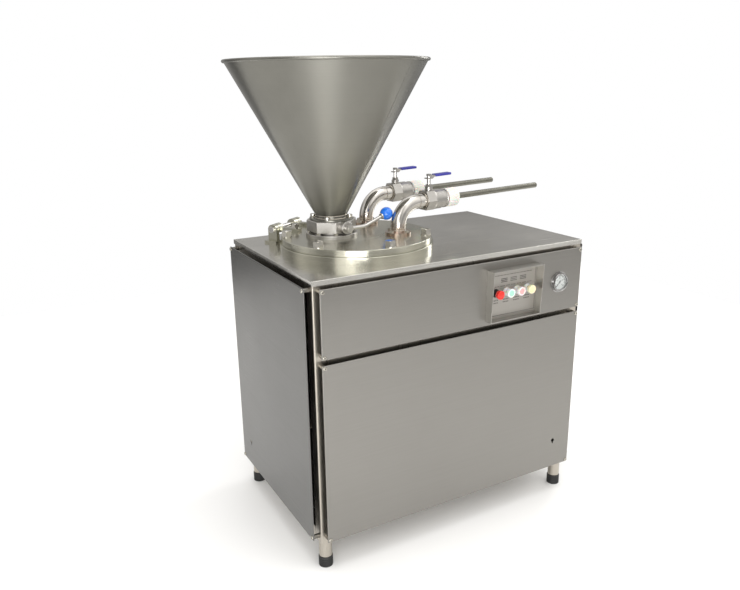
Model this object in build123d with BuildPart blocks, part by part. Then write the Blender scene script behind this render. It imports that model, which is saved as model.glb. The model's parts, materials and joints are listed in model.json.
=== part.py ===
from build123d import *
import os
from math import cos, radians, sin

os.makedirs("parts", exist_ok=True)

# Hydraulic sausage filler: a panelled cabinet on four feet, a sunk meat barrel under a hinged lid, and
# on the lid a cone hopper with its valve and two outlets with ball valves and stuffing tubes.
# Millimetres, +Z up, origin on the floor under the middle of the whole outline.

# ---- cabinet ----
WIDTH = 1000
DEPTH = 640
WORKTOP_TOP = 930
SHEET = 2
SKIRT_HEIGHT = 15
TUBE = 40
TUBE_WALL = 2
WELD_GAP = 0.2
FRAME_BOTTOM = 96
MIDDLE_RAIL_Z = 693

# ---- cladding panels, standing off the frame ----
PANEL_PROUD = 19.4
PANEL_THICK = 3.5
PANEL_HEM = 12
PANEL_EDGE_R = 2
PANEL_INSET_X = 15.5
PANEL_INSET_Y = 14.3
PANEL_TOP = 908.5
PANEL_SPLIT_TOP = 701
PANEL_SPLIT_BOTTOM = 685
PANEL_BOTTOM = 107.6
KEYHOLE_R = 6.5
SCREW_INSET = 8
SCREW_R = 3
SCREW_HEAD_R = 6.3
SCREW_HEAD_HEIGHT = 3.2
STANDOFF_R = 7

# ---- feet ----
FOOT_INSET_X = 28
FOOT_INSET_Y = 31
FOOT_R = 22.3
FOOT_HEIGHT = 34
FOOT_STEM_R = 9
SLEEVE_R = 20.5

# ---- lid, barrel and piston ----
LID_OFFSET = (313, 321)
LID_R = 245
LID_TOP = 971
LID_BOTTOM = 950.3
BARREL_R = 200
BARREL_WALL = 4
BARREL_FLANGE_R = 251
BARREL_FLANGE_TOP = 950
BARREL_FLOOR_TOP = 622
BARREL_FLOOR_THICK = 12
SEAL_R = 212
BOLT_CIRCLE_R = 227
BOLT_R = 8
BOLT_HEAD_AF = 30
BOLT_ANGLES = (160, 211.5, 268.5, 323, 17.5, 72)
FIT = 0.05
PISTON_HEIGHT = 30
ROD_R = 22

# ---- hinge of the lid ----
HINGE_ANGLE = 123
HINGE_DISTANCE = 280
HINGE_Z = 975
HINGE_PIN_R = 8
HINGE_BRACKET_AT = 70
HINGE_ARM_AT = 48
HINGE_LUG = 34

# ---- hopper and its valve ----
HOPPER_OFFSET = (237, 350)
HOPPER_RIM_R = 316
HOPPER_RIM_TOP = 1516
HOPPER_BEAD_R = 5
HOPPER_WALL = 2.2
HOPPER_NECK_R = 51
HOPPER_NECK_TOP = 1039
VALVE_BORE_R = 48
VALVE_RING_R = 84
VALVE_RING_TOP = 983
VALVE_BLOCK_AF = 150
VALVE_BLOCK_BOTTOM = 990
VALVE_BLOCK_TOP = 1025
VALVE_FACET_ANGLE = -83
VALVE_STEM_Z = 1007
VALVE_STEM_R = 7
VALVE_BOSS_R = 20.5
VALVE_BOSS_REACH = 94
LEVER_PLANE = 100
LEVER_ROD_R = 6
LEVER_ELBOW = (60, 0)
LEVER_TIP = (148, 30)
KNOB_R = 21

# ---- outlets: elbow, ball valve, nut and stuffing tube, all along one level axis ----
OUTLET_OFFSETS = {"front": (427, 247), "rear": (425, 458)}
OUTLET_TUBE_END = {"front": 652, "rear": 612}
OUTLET_ANGLE = 7
OUTLET_Z = 1068
PIPE_R = 24.15
PIPE_BORE_R = 21.6
ELBOW_BEND_R = 76
ELBOW_FLANGE_R = 42
BALL_VALVE_START = 105
BALL_CENTRE = 130
BALL_R = 28
BALL_BORE_R = 20
HEX_AF = 62
HEX_END = 139
BODY_R = 33
BODY_END = 195
SPIGOT_R = 27
SPIGOT_END = 215
STEM_R = 6
STEM_TOP = 80
NUT_R = 31.5
NUT_START = 197
NUT_END = 247
TUBE_R = 10
TUBE_BORE_R = 8.8
TUBE_COLLAR_R = 26
TUBE_SHOULDER_R = 11
TUBE_SHOULDER_END = 252
SLEEVE_TIP = 90

# ---- control box and gauge, on the upper front panel ----
HOOD_LEFT = 588
HOOD_RIGHT = 790
HOOD_BOTTOM = 716
HOOD_TOP = 883
HOOD_REACH = 36
HOOD_REACH_LOW = 26
HOOD_SINK = 3
HOOD_WALL = 2
PLATE_THICK = 3
BUTTON_SPACING = 42.5
BUTTON_FIRST = 624
BUTTON_Z = 804
BUTTON_NAMES = ("stop_button", "start_button", "press_button", "return_button")
BUTTON_BACK = 15
BUTTON_TRAVEL = 4
BUTTON_STEM_R = 9
BUTTON_HEAD_R = 14.5
BUTTON_COLLAR_R = 14
GAUGE_AT = (890, 802)
GAUGE_R = 30.5
GAUGE_FLANGE_R = 35.5
GAUGE_DIAL_R = 26.5

# ---- hydraulics inside the cabinet ----
CYLINDER_R = 55
CYLINDER_BORE_R = 45
CYLINDER_BOTTOM = 230
CYLINDER_TOP = 606
TANK_BOX = (560, 150, 950, 500)
TANK_TOP = 400
MOTOR_R = 80
MOTOR_Z = 492
MOTOR_SPAN = (705, 915)
PUMP_SPAN = (570, 640)
SHAFT_R = 12
OIL_PIPE_R = 7

# ---- the outline's middle, which is the origin ----
GLAND_REACH = 26
outlet_cos = cos(radians(OUTLET_ANGLE))
outlet_sin = sin(radians(OUTLET_ANGLE))
left_reach = HOPPER_OFFSET[0] - HOPPER_RIM_R
right_reach = OUTLET_OFFSETS["front"][0] + OUTLET_TUBE_END["front"] * outlet_cos + TUBE_R * outlet_sin
front_reach = -PANEL_PROUD - HOOD_REACH
rear_reach = DEPTH + PANEL_PROUD + GLAND_REACH
LEFT = -(left_reach + right_reach) / 2
FRONT = -(front_reach + rear_reach) / 2
RIGHT = LEFT + WIDTH
BACK = FRONT + DEPTH
CENTRE_X = (LEFT + RIGHT) / 2
CENTRE_Y = (FRONT + BACK) / 2
LID = (LEFT + LID_OFFSET[0], FRONT + LID_OFFSET[1])
HOPPER = (LEFT + HOPPER_OFFSET[0], FRONT + HOPPER_OFFSET[1])


def save(builder, name):
    """Label a finished piece and write it as its own STEP file."""
    builder.part.label = name
    export_step(builder.part, f"parts/{name}.step")


def around(centre, radius, angle):
    """The point at an angle on a circle about a centre."""
    return (centre[0] + radius * cos(radians(angle)), centre[1] + radius * sin(radians(angle)))


def level(x, y, z):
    """A level plane with its origin at the point."""
    return Plane(origin=(x, y, z))


def cylinder(plane, radius, length, mode=Mode.ADD):
    """A round bar along the plane's normal, from the plane's origin."""
    with BuildSketch(plane) as profile:
        Circle(radius)
    extrude(profile.sketch, amount=length, mode=mode)


def ring(plane, outer, inner, length):
    """A round tube along the plane's normal."""
    with BuildSketch(plane) as profile:
        Circle(outer)
        Circle(inner, mode=Mode.SUBTRACT)
    extrude(profile.sketch, amount=length)


def block(low, high, mode=Mode.ADD):
    """A box between two corners."""
    size = [high[i] - low[i] for i in range(3)]
    with BuildSketch(level((low[0] + high[0]) / 2, (low[1] + high[1]) / 2, low[2])) as profile:
        Rectangle(size[0], size[1])
    extrude(profile.sketch, amount=size[2], mode=mode)


# ==== frame ====
rail_x = WIDTH - 2 * SHEET - 2 * TUBE - 2 * WELD_GAP
rail_y = DEPTH - 2 * SHEET - 2 * TUBE - 2 * WELD_GAP
post_x = WIDTH / 2 - SHEET - TUBE / 2
post_y = DEPTH / 2 - SHEET - TUBE / 2
post_top = WORKTOP_TOP - SHEET - WELD_GAP
low_rail_z = FRAME_BOTTOM + TUBE / 2
high_rail_z = post_top - TUBE / 2

with BuildPart() as frame_tubes:
    with BuildSketch(level(CENTRE_X, CENTRE_Y, FRAME_BOTTOM)):
        with GridLocations(2 * post_x, 2 * post_y, 2, 2):
            RectangleRounded(TUBE, TUBE, 4)
            Rectangle(TUBE - 2 * TUBE_WALL, TUBE - 2 * TUBE_WALL, mode=Mode.SUBTRACT)
    extrude(amount=post_top - FRAME_BOTTOM)
    long_rails = [(-post_y, low_rail_z), (post_y, low_rail_z), (-post_y, high_rail_z), (post_y, high_rail_z)]
    with BuildSketch(Plane(origin=(CENTRE_X - rail_x / 2, CENTRE_Y, 0), x_dir=(0, 1, 0), z_dir=(1, 0, 0))):
        with Locations(*long_rails, (-post_y, MIDDLE_RAIL_Z)):
            Rectangle(TUBE, TUBE)
            Rectangle(TUBE - 2 * TUBE_WALL, TUBE - 2 * TUBE_WALL, mode=Mode.SUBTRACT)
    extrude(amount=rail_x)
    short_rails = [(x, z) for x in (-post_x, post_x) for z in (low_rail_z, high_rail_z)]
    with BuildSketch(Plane(origin=(CENTRE_X, CENTRE_Y + rail_y / 2, 0), x_dir=(1, 0, 0), z_dir=(0, -1, 0))):
        with Locations(*short_rails):
            Rectangle(TUBE, TUBE)
            Rectangle(TUBE - 2 * TUBE_WALL, TUBE - 2 * TUBE_WALL, mode=Mode.SUBTRACT)
    extrude(amount=rail_y)
    with BuildSketch(level(CENTRE_X, CENTRE_Y, FOOT_HEIGHT + 2)):
        with GridLocations(WIDTH - 2 * FOOT_INSET_X, DEPTH - 2 * FOOT_INSET_Y, 2, 2):
            Circle(SLEEVE_R)
            Circle(FOOT_STEM_R + FIT, mode=Mode.SUBTRACT)
    extrude(amount=FRAME_BOTTOM - WELD_GAP - FOOT_HEIGHT - 2)
save(frame_tubes, "frame_tubes")

base_z = FRAME_BOTTOM + TUBE + WELD_GAP
with BuildPart() as base_tray:
    with BuildSketch(level(CENTRE_X, CENTRE_Y, base_z)):
        Rectangle(rail_x, rail_y)
    extrude(amount=SHEET)
save(base_tray, "base_tray")

with BuildPart() as worktop:
    with BuildSketch(level(CENTRE_X, CENTRE_Y, WORKTOP_TOP - SKIRT_HEIGHT)):
        Rectangle(WIDTH, DEPTH)
    extrude(amount=SKIRT_HEIGHT)
    fillet(worktop.faces().sort_by(Axis.Z)[-1].edges(), 1.5)
    with BuildSketch(level(CENTRE_X, CENTRE_Y, WORKTOP_TOP - SKIRT_HEIGHT)):
        Rectangle(WIDTH - 2 * SHEET + 0.2, DEPTH - 2 * SHEET + 0.2)
    extrude(amount=SKIRT_HEIGHT - SHEET, mode=Mode.SUBTRACT)
    cylinder(level(*LID, WORKTOP_TOP - SHEET), BARREL_R + BARREL_WALL + 0.5, SHEET, Mode.SUBTRACT)
save(worktop, "worktop")


# ==== cladding panels ====
# A panel plane's origin is the panel's outer face at the cabinet's corner on the floor. Local x runs
# along the panel, local y runs up and the normal points out of the cabinet.
panel_planes = {
    "front": Plane(origin=(LEFT, FRONT - PANEL_PROUD, 0), x_dir=(1, 0, 0), z_dir=(0, -1, 0)),
    "left": Plane(origin=(LEFT - PANEL_PROUD, BACK, 0), x_dir=(0, -1, 0), z_dir=(-1, 0, 0)),
    "right": Plane(origin=(RIGHT + PANEL_PROUD, FRONT, 0), x_dir=(0, 1, 0), z_dir=(1, 0, 0)),
    "rear": Plane(origin=(RIGHT, BACK + PANEL_PROUD, 0), x_dir=(-1, 0, 0), z_dir=(0, 1, 0)),
}
# name: side, low x, high x, low z, high z
panels = {
    "front_upper_panel": ("front", PANEL_INSET_X, WIDTH - PANEL_INSET_X, PANEL_SPLIT_TOP, PANEL_TOP),
    "front_lower_panel": ("front", PANEL_INSET_X, WIDTH - PANEL_INSET_X, PANEL_BOTTOM, PANEL_SPLIT_BOTTOM),
    "left_panel": ("left", PANEL_INSET_Y, DEPTH - PANEL_INSET_Y, PANEL_BOTTOM, PANEL_TOP + 1),
    "right_panel": ("right", PANEL_INSET_Y, DEPTH - PANEL_INSET_Y, PANEL_BOTTOM, PANEL_TOP + 1),
    "rear_panel": ("rear", PANEL_INSET_X, WIDTH - PANEL_INSET_X, PANEL_BOTTOM, PANEL_TOP),
}
gland_at = (150, 200)
keyholes = {"front_lower_panel": (908, 212), "left_panel": (102, 202)}


def screw_points(panel):
    """The four corner screws of a panel, on its panel plane."""
    side, low_x, high_x, low_z, high_z = panels[panel]
    xs = (low_x + SCREW_INSET, high_x - SCREW_INSET)
    zs = (low_z + SCREW_INSET, high_z - SCREW_INSET)
    return [(x, z) for x in xs for z in zs]


def keyhole(plane, x, z):
    """A round hole with a short slot below it, cut through a panel."""
    with BuildSketch(plane) as profile:
        with Locations((x, z)):
            Circle(KEYHOLE_R)
        with Locations((x, z - KEYHOLE_R - 1)):
            Rectangle(5, 9)
    extrude(profile.sketch, amount=-PANEL_THICK, mode=Mode.SUBTRACT)


for name, (side, low_x, high_x, low_z, high_z) in panels.items():
    plane = panel_planes[side]
    middle = ((low_x + high_x) / 2, (low_z + high_z) / 2)
    with BuildPart() as panel:
        with BuildSketch(plane):
            with Locations(middle):
                RectangleRounded(high_x - low_x, high_z - low_z, 2)
        extrude(amount=-PANEL_THICK)
        fillet(panel.faces().sort_by(Axis(plane.origin, plane.z_dir))[-1].edges(), PANEL_EDGE_R)
        with BuildSketch(plane.offset(-PANEL_THICK)):
            with Locations(middle):
                Rectangle(high_x - low_x - 2 * PANEL_HEM, high_z - low_z - 2 * PANEL_HEM)
        extrude(amount=PANEL_THICK - 1.2, mode=Mode.SUBTRACT)
        with BuildSketch(plane):
            with Locations(*screw_points(name)):
                Circle(SCREW_R + 0.3)
        extrude(amount=-PANEL_THICK, mode=Mode.SUBTRACT)
        if name in keyholes:
            keyhole(plane, *keyholes[name])
        if name == "rear_panel":
            with BuildSketch(plane):
                with Locations(gland_at):
                    Circle(10.2)
            extrude(amount=-PANEL_THICK, mode=Mode.SUBTRACT)
        if name == "front_upper_panel":
            with BuildSketch(plane):
                with Locations(GAUGE_AT):
                    Circle(GAUGE_R - 3)
                with Locations(((HOOD_LEFT + HOOD_RIGHT) / 2, (HOOD_BOTTOM + HOOD_TOP) / 2)):
                    Rectangle(HOOD_RIGHT - HOOD_LEFT + 0.4, HOOD_TOP - HOOD_BOTTOM + 0.4)
            extrude(amount=-PANEL_THICK, mode=Mode.SUBTRACT)
    save(panel, name)

standoff_length = PANEL_PROUD - PANEL_THICK + SHEET
with BuildPart() as panel_standoffs:
    for name in panels:
        with BuildSketch(panel_planes[panels[name][0]].offset(-PANEL_THICK)):
            with Locations(*screw_points(name)):
                Circle(STANDOFF_R)
                Circle(SCREW_R + FIT, mode=Mode.SUBTRACT)
        extrude(amount=-standoff_length)
save(panel_standoffs, "panel_standoffs")

with BuildPart() as panel_screws:
    for name in panels:
        plane = panel_planes[panels[name][0]]
        with BuildSketch(plane.offset(-PANEL_THICK - 10)):
            with Locations(*screw_points(name)):
                Circle(SCREW_R)
        extrude(amount=PANEL_THICK + 10)
        with BuildSketch(plane):
            with Locations(*screw_points(name)):
                Circle(SCREW_HEAD_R)
        extrude(amount=SCREW_HEAD_HEIGHT)
    dome_edges = panel_screws.edges().filter_by(GeomType.CIRCLE)
    dome_edges = dome_edges.filter_by(lambda edge: abs(edge.radius - SCREW_HEAD_R) < 0.01)
    outer = [edge for edge in dome_edges if any(
        abs(panel_planes[side].to_local_coords(edge.arc_center).Z - SCREW_HEAD_HEIGHT) < 0.01
        for side in panel_planes)]
    fillet(outer, SCREW_HEAD_HEIGHT - 0.7)
save(panel_screws, "panel_screws")

# ==== feet: a ribbed rubber foot moulded on a stem that screws into the sleeve under each post ====
foot_names = {
    "foot_front_left": (LEFT + FOOT_INSET_X, FRONT + FOOT_INSET_Y),
    "foot_front_right": (RIGHT - FOOT_INSET_X, FRONT + FOOT_INSET_Y),
    "foot_rear_left": (LEFT + FOOT_INSET_X, BACK - FOOT_INSET_Y),
    "foot_rear_right": (RIGHT - FOOT_INSET_X, BACK - FOOT_INSET_Y),
}
rib_count = 4
for name, (x, y) in foot_names.items():
    with BuildPart() as foot:
        cylinder(level(x, y, 0), FOOT_R, FOOT_HEIGHT)
        fillet(foot.edges().sort_by(Axis.Z)[-1], 3)
        for i in range(rib_count):
            groove_z = 5 + i * (FOOT_HEIGHT - 8) / rib_count
            with BuildSketch(level(x, y, groove_z)):
                Circle(FOOT_R + 1)
                Circle(FOOT_R - 1.5, mode=Mode.SUBTRACT)
            extrude(amount=2.5, mode=Mode.SUBTRACT)
        cylinder(level(x, y, FOOT_HEIGHT), FOOT_STEM_R, 50)
    save(foot, name)

# ==== meat barrel with its bolting flange ====
bolt_spots = [around(LID, BOLT_CIRCLE_R, angle) for angle in BOLT_ANGLES]
floor_bottom = BARREL_FLOOR_TOP - BARREL_FLOOR_THICK
with BuildPart() as meat_barrel:
    cylinder(level(*LID, floor_bottom), BARREL_R + BARREL_WALL, BARREL_FLANGE_TOP - floor_bottom)
    cylinder(level(*LID, WORKTOP_TOP), BARREL_FLANGE_R, BARREL_FLANGE_TOP - WORKTOP_TOP)
    fillet(meat_barrel.edges().filter_by(GeomType.CIRCLE).sort_by(Axis.Z)[-1], 1.5)
    cylinder(level(*LID, BARREL_FLOOR_TOP), BARREL_R, 400, Mode.SUBTRACT)
    cylinder(level(*LID, floor_bottom), ROD_R + FIT, BARREL_FLOOR_THICK, Mode.SUBTRACT)
    with BuildSketch(level(*LID, BARREL_FLANGE_TOP)):
        Circle(SEAL_R + 2.6)
        Circle(SEAL_R - 2.6, mode=Mode.SUBTRACT)
    extrude(amount=-4, mode=Mode.SUBTRACT)
    for x, y in bolt_spots:
        cylinder(level(x, y, BARREL_FLANGE_TOP), BOLT_R + FIT, -16, Mode.SUBTRACT)
save(meat_barrel, "meat_barrel")

with BuildPart() as lid_seal:
    ring(level(*LID, BARREL_FLANGE_TOP - 3.9), SEAL_R + 2.5, SEAL_R - 2.5, 4.1)
save(lid_seal, "lid_seal")

# ==== lid ====
hinge_out = (cos(radians(HINGE_ANGLE)), sin(radians(HINGE_ANGLE)), 0)
hinge_along = (sin(radians(HINGE_ANGLE)), -cos(radians(HINGE_ANGLE)), 0)
outlets = {name: (LEFT + x, FRONT + y) for name, (x, y) in OUTLET_OFFSETS.items()}


def hinge_point(out, along):
    """A point on plan, out from the lid's centre and along the hinge line."""
    return tuple(LID[i] + out * hinge_out[i] + along * hinge_along[i] for i in range(2))


arm_bolts = [hinge_point(207, side * HINGE_ARM_AT) for side in (-1, 1)]
with BuildPart() as lid_plate:
    cylinder(level(*LID, LID_BOTTOM), LID_R, LID_TOP - LID_BOTTOM)
    fillet(lid_plate.edges().filter_by(GeomType.CIRCLE).sort_by(Axis.Z)[-1], 2)
    cylinder(level(*HOPPER, LID_BOTTOM), VALVE_BORE_R, 30, Mode.SUBTRACT)
    for x, y in outlets.values():
        cylinder(level(x, y, LID_BOTTOM), PIPE_BORE_R, 30, Mode.SUBTRACT)
    for x, y in bolt_spots:
        cylinder(level(x, y, LID_BOTTOM), BOLT_R + 1, 30, Mode.SUBTRACT)
    for x, y in arm_bolts:
        cylinder(level(x, y, LID_TOP), 5 + FIT, -12, Mode.SUBTRACT)
save(lid_plate, "lid_plate")


def hex_bolt(x, y, seat, across_flats, head, shank_r, shank):
    """A hexagon bolt with a washer under its head; the seat is the height that the washer lies on."""
    with BuildSketch(level(x, y, seat + 3)) as hexagon:
        RegularPolygon(across_flats / 2, 6, major_radius=False)
    extrude(hexagon.sketch, amount=head)
    cylinder(level(x, y, seat + 3 + head), across_flats / 2 * 0.9, 1)
    cylinder(level(x, y, seat), across_flats / 2 * 1.12, 3)
    cylinder(level(x, y, seat), shank_r, -shank)


arm_thick = 10
with BuildPart() as lid_bolts:
    for x, y in bolt_spots:
        hex_bolt(x, y, LID_TOP, BOLT_HEAD_AF, 16, BOLT_R, LID_TOP - LID_BOTTOM)
    for x, y in arm_bolts:
        hex_bolt(x, y, LID_TOP + arm_thick, 22, 11, 5, arm_thick + 11)
save(lid_bolts, "lid_bolts")

# ==== hinge of the lid: two brackets on the worktop, a pin, and two arms bolted to the lid ====
hinge_plane = Plane(origin=(*hinge_point(HINGE_DISTANCE, 0), HINGE_Z), x_dir=hinge_out, z_dir=hinge_along)
lug_rise = HINGE_LUG / 2
bracket_foot = WORKTOP_TOP + 8 - HINGE_Z
with BuildPart() as hinge_brackets:
    for along in (-HINGE_BRACKET_AT, HINGE_BRACKET_AT):
        with BuildSketch(hinge_plane.offset(along - 8)):
            Circle(lug_rise)
            with Locations((0, bracket_foot / 2)):
                Rectangle(HINGE_LUG, -bracket_foot)
            Circle(HINGE_PIN_R + 0.02, mode=Mode.SUBTRACT)
        extrude(amount=16)
        with BuildSketch(hinge_plane.offset(along - 20)):
            with Locations((2, WORKTOP_TOP + 4 - HINGE_Z)):
                Rectangle(HINGE_LUG + 12, 8)
        extrude(amount=40)
save(hinge_brackets, "hinge_brackets")

with BuildPart() as hinge_pin:
    cylinder(hinge_plane.offset(-HINGE_BRACKET_AT - 8.5), HINGE_PIN_R, 2 * HINGE_BRACKET_AT + 17)
    for start in (-HINGE_BRACKET_AT - 15, HINGE_BRACKET_AT + 8.5):
        cylinder(hinge_plane.offset(start), 11, 6.5)
    fillet(hinge_pin.faces().sort_by(Axis(hinge_plane.origin, hinge_along))[0].edges(), 2)
    fillet(hinge_pin.faces().sort_by(Axis(hinge_plane.origin, hinge_along))[-1].edges(), 2)
save(hinge_pin, "hinge_pin")

arm_reach = HINGE_DISTANCE - 190
arm_low = LID_TOP - HINGE_Z
with BuildPart() as hinge_arms:
    for along in (-HINGE_ARM_AT, HINGE_ARM_AT):
        with BuildSketch(hinge_plane.offset(along - 12)):
            Circle(lug_rise)
            with Locations((-arm_reach / 2, arm_low + arm_thick / 2)):
                Rectangle(arm_reach, arm_thick)
            Circle(HINGE_PIN_R + FIT, mode=Mode.SUBTRACT)
        extrude(amount=24)
    for x, y in arm_bolts:
        cylinder(level(x, y, LID_TOP), 5.5, 30, Mode.SUBTRACT)
save(hinge_arms, "hinge_arms")

# ==== hopper ====
cone_bottom = (HOPPER_NECK_R, HOPPER_NECK_TOP)
bead_centre = (HOPPER_RIM_R - HOPPER_BEAD_R, HOPPER_RIM_TOP - HOPPER_BEAD_R)
hopper_plane = Plane(origin=(*HOPPER, 0), x_dir=(1, 0, 0), z_dir=(0, -1, 0))
hopper_axis = Axis((*HOPPER, 0), (0, 0, 1))
flange_z = VALVE_BLOCK_TOP + WELD_GAP
with BuildPart() as hopper:
    with BuildSketch(hopper_plane):
        with BuildLine():
            Polyline(
                (HOPPER_NECK_R - HOPPER_WALL, flange_z),
                (70, flange_z),
                (70, flange_z + 5),
                (HOPPER_NECK_R, flange_z + 5),
                cone_bottom,
                bead_centre,
                (bead_centre[0] - HOPPER_WALL, bead_centre[1]),
                (HOPPER_NECK_R - HOPPER_WALL, HOPPER_NECK_TOP + HOPPER_WALL),
                close=True,
            )
        make_face()
        with Locations(bead_centre):
            Circle(HOPPER_BEAD_R)
    revolve(axis=hopper_axis)
    with BuildSketch(level(*HOPPER, flange_z)):
        with PolarLocations(61, 4, start_angle=VALVE_FACET_ANGLE - 45):
            Circle(5.2)
    extrude(amount=5, mode=Mode.SUBTRACT)
save(hopper, "hopper")

# ==== hopper valve: an eight-sided block on a round flange, with a turning disc inside ====
stem_dir = (cos(radians(VALVE_FACET_ANGLE)), sin(radians(VALVE_FACET_ANGLE)), 0)
stem_plane = Plane(origin=(*HOPPER, VALVE_STEM_Z), x_dir=(0, 0, 1), z_dir=stem_dir)
with BuildPart() as hopper_valve_body:
    cylinder(level(*HOPPER, LID_TOP), VALVE_RING_R, VALVE_RING_TOP - LID_TOP)
    fillet(hopper_valve_body.edges().filter_by(GeomType.CIRCLE).sort_by(Axis.Z)[-1], 1.5)
    cylinder(level(*HOPPER, VALVE_RING_TOP), 60, VALVE_BLOCK_BOTTOM - VALVE_RING_TOP)
    with BuildSketch(level(*HOPPER, VALVE_BLOCK_BOTTOM)):
        RegularPolygon(VALVE_BLOCK_AF / 2, 8, major_radius=False, rotation=VALVE_FACET_ANGLE + 22.5)
    extrude(amount=VALVE_BLOCK_TOP - VALVE_BLOCK_BOTTOM)
    chamfer(hopper_valve_body.faces().sort_by(Axis.Z)[-1].edges(), 1.5)
    cylinder(stem_plane.offset(VALVE_BLOCK_AF / 2 - 4), VALVE_BOSS_R, VALVE_BOSS_REACH - VALVE_BLOCK_AF / 2 + 4)
    chamfer(hopper_valve_body.faces().sort_by(Axis(stem_plane.origin, stem_dir))[-1].edges(), 1.5)
    cylinder(level(*HOPPER, LID_TOP), VALVE_BORE_R, 100, Mode.SUBTRACT)
    cylinder(stem_plane.offset(-62), VALVE_STEM_R + FIT, 200, Mode.SUBTRACT)
    with BuildSketch(level(*HOPPER, VALVE_BLOCK_TOP)):
        with PolarLocations(61, 4, start_angle=VALVE_FACET_ANGLE - 45):
            Circle(5 + FIT)
    extrude(amount=-14, mode=Mode.SUBTRACT)
save(hopper_valve_body, "hopper_valve_body")

with BuildPart() as hopper_valve_disc:
    cylinder(level(*HOPPER, VALVE_STEM_Z - 4), VALVE_BORE_R - 0.3, 8)
    chamfer(hopper_valve_disc.edges().filter_by(GeomType.CIRCLE), 2)
    cylinder(stem_plane.offset(-60), VALVE_STEM_R, 60 + LEVER_PLANE + 9)
save(hopper_valve_disc, "hopper_valve_disc")

lever_side = (-sin(radians(VALVE_FACET_ANGLE)), cos(radians(VALVE_FACET_ANGLE)), 0)
lever_origin = tuple(stem_plane.origin + Vector(*stem_dir) * LEVER_PLANE)
lever_plane = Plane(origin=lever_origin, x_dir=lever_side, z_dir=stem_dir)
tip_run = Vector(LEVER_TIP[0] - LEVER_ELBOW[0], LEVER_TIP[1] - LEVER_ELBOW[1]).normalized()
rod_end = (LEVER_TIP[0] - 6 * tip_run.X, LEVER_TIP[1] - 6 * tip_run.Y)
with BuildPart() as hopper_valve_lever:
    with BuildLine(lever_plane) as rod_path:
        FilletPolyline((8, 0), LEVER_ELBOW, rod_end, radius=40)
    with BuildSketch(Plane(origin=rod_path.line @ 0, z_dir=rod_path.line % 0)):
        Circle(LEVER_ROD_R)
    sweep(path=rod_path.line)
    cylinder(lever_plane.offset(-5), 12, 13)
    cylinder(lever_plane.offset(-5), VALVE_STEM_R + FIT, 13, Mode.SUBTRACT)
save(hopper_valve_lever, "hopper_valve_lever")

knob_centre = lever_plane.from_local_coords(LEVER_TIP)
knob_dir = rod_path.line % 1
knob_plane = Plane(origin=knob_centre, z_dir=knob_dir)
with BuildPart() as hopper_valve_knob:
    with Locations(knob_centre):
        Sphere(KNOB_R)
    cylinder(knob_plane.offset(-KNOB_R - 5), LEVER_ROD_R + FIT, KNOB_R, Mode.SUBTRACT)
save(hopper_valve_knob, "hopper_valve_knob")

with BuildPart() as flange_screws:
    for i in range(4):
        x, y = around(HOPPER, 61, VALVE_FACET_ANGLE - 45 + 90 * i)
        cylinder(level(x, y, flange_z + 5), 8.5, 9)
        cylinder(level(x, y, flange_z + 5), 5, -15)
        with BuildSketch(level(x, y, flange_z + 14)):
            RegularPolygon(4, 6, major_radius=False)
        extrude(amount=-5, mode=Mode.SUBTRACT)
    for i in range(8):
        x, y = around(HOPPER, 73, VALVE_FACET_ANGLE + 22.5 + 45 * i)
        with BuildSketch(level(x, y, VALVE_RING_TOP)):
            RegularPolygon(6.5, 6, major_radius=False)
        extrude(amount=6)
    for centre in outlets.values():
        for i in range(4):
            x, y = around(centre, 34, OUTLET_ANGLE + 15 + 90 * i)
            with BuildSketch(level(x, y, LID_TOP + 8)):
                RegularPolygon(6.5, 6, major_radius=False)
            extrude(amount=6.5)
save(flange_screws, "flange_screws")


# ==== outlets ====
# An outlet plane's origin is over the elbow's foot on the level axis. Local x runs along the axis to the
# tube's mouth and local y runs up.
def outlet_plane(name, along=0):
    x, y = outlets[name]
    origin = (x + along * outlet_cos, y + along * outlet_sin, OUTLET_Z)
    return Plane(origin=origin, x_dir=(outlet_cos, outlet_sin, 0), z_dir=(outlet_sin, -outlet_cos, 0))


def outlet_section(name, along):
    """The plane across an outlet's axis at a distance along it, facing the tube's mouth."""
    plane = outlet_plane(name, along)
    return Plane(origin=plane.origin, x_dir=(0, 0, 1), z_dir=plane.x_dir)


with BuildPart() as outlet_elbows:
    drop = LID_TOP - OUTLET_Z
    for name, (x, y) in outlets.items():
        with BuildLine(outlet_plane(name)) as elbow_path:
            FilletPolyline((0, drop), (0, 0), (BALL_VALVE_START, 0), radius=ELBOW_BEND_R)
        with BuildSketch(level(x, y, LID_TOP)):
            Circle(PIPE_R)
        sweep(path=elbow_path.line)
        cylinder(level(x, y, LID_TOP), ELBOW_FLANGE_R, 8)
        cylinder(level(x, y, LID_TOP + 8), PIPE_R + 2, 5)
    for name, (x, y) in outlets.items():
        with BuildLine(outlet_plane(name)) as elbow_path:
            FilletPolyline((0, drop), (0, 0), (BALL_VALVE_START, 0), radius=ELBOW_BEND_R)
        with BuildSketch(level(x, y, LID_TOP)):
            Circle(PIPE_BORE_R)
        sweep(path=elbow_path.line, mode=Mode.SUBTRACT)
save(outlet_elbows, "outlet_elbows")

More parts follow.
